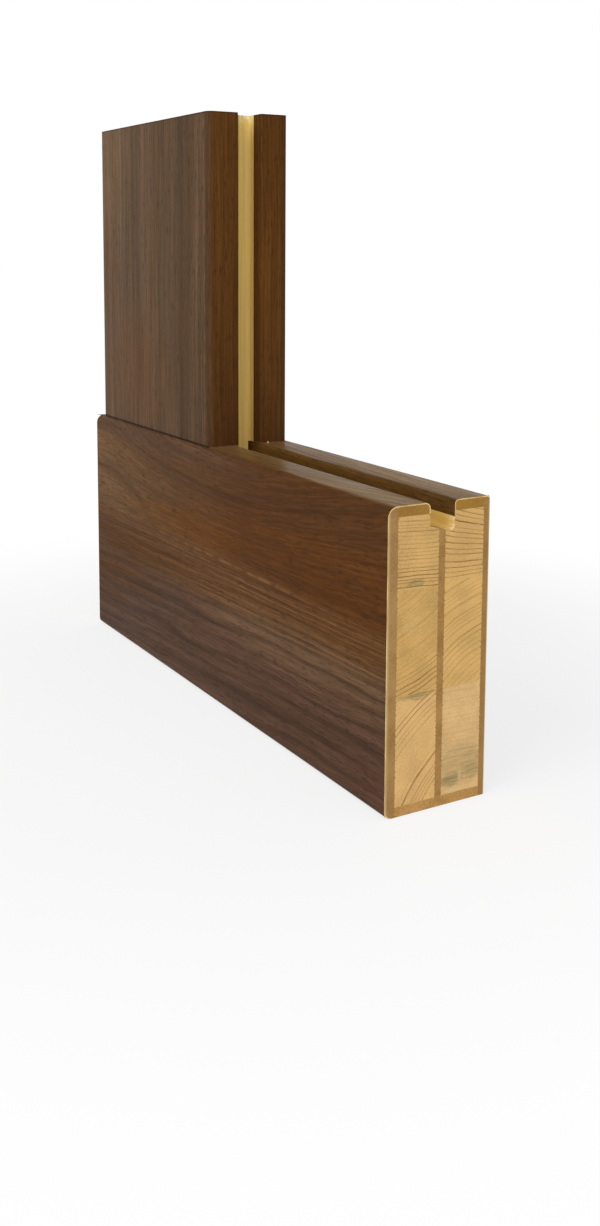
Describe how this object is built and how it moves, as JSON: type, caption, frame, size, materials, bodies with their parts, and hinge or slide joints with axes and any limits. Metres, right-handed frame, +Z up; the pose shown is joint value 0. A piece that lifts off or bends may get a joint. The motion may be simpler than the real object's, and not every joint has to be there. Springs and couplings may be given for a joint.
{
  "type": "door leaf corner section",
  "caption": "Cut-away corner of a film-wrapped door leaf: a grooved stile lying on its edge with a rail standing on it, and its layered core open at the sawn end.",
  "frame": {"origin": "middle of the stile's footprint, on the floor that it stands on", "axes": "+X along the stile towards its sawn end, +Y from the front face to the back face, +Z up the rail"},
  "size_m": [0.272, 0.045, 0.262],
  "materials": {
    "wood_print_film": "walnut print, satin",
    "facing_board": "sawn fibreboard",
    "edge_strip": "sawn fibreboard",
    "centre_strip": "sawn fibreboard",
    "pine_lath": "sawn pine"
  },
  "bodies": {
    "root": {"stile_front_film": "wood_print_film", "stile_back_film": "wood_print_film", "stile_front_facing": "facing_board", "stile_back_facing": "facing_board", "stile_front_lip_strip": "edge_strip", "stile_back_lip_strip": "edge_strip", "stile_outer_strip": "edge_strip", "stile_centre_strip": "centre_strip", "stile_front_core_outer": "pine_lath", "stile_front_core_middle": "pine_lath", "stile_front_core_inner": "pine_lath", "stile_back_core_outer": "pine_lath", "stile_back_core_middle": "pine_lath", "stile_back_core_inner": "pine_lath", "rail_front_film": "wood_print_film", "rail_back_film": "wood_print_film", "rail_front_facing": "facing_board", "rail_back_facing": "facing_board", "rail_front_lip_strip": "edge_strip", "rail_back_lip_strip": "edge_strip", "rail_outer_strip": "edge_strip", "rail_centre_strip": "centre_strip", "rail_front_core_outer": "pine_lath", "rail_front_core_middle": "pine_lath", "rail_front_core_inner": "pine_lath", "rail_back_core_outer": "pine_lath", "rail_back_core_middle": "pine_lath", "rail_back_core_inner": "pine_lath"}
  },
  "joints": []
}
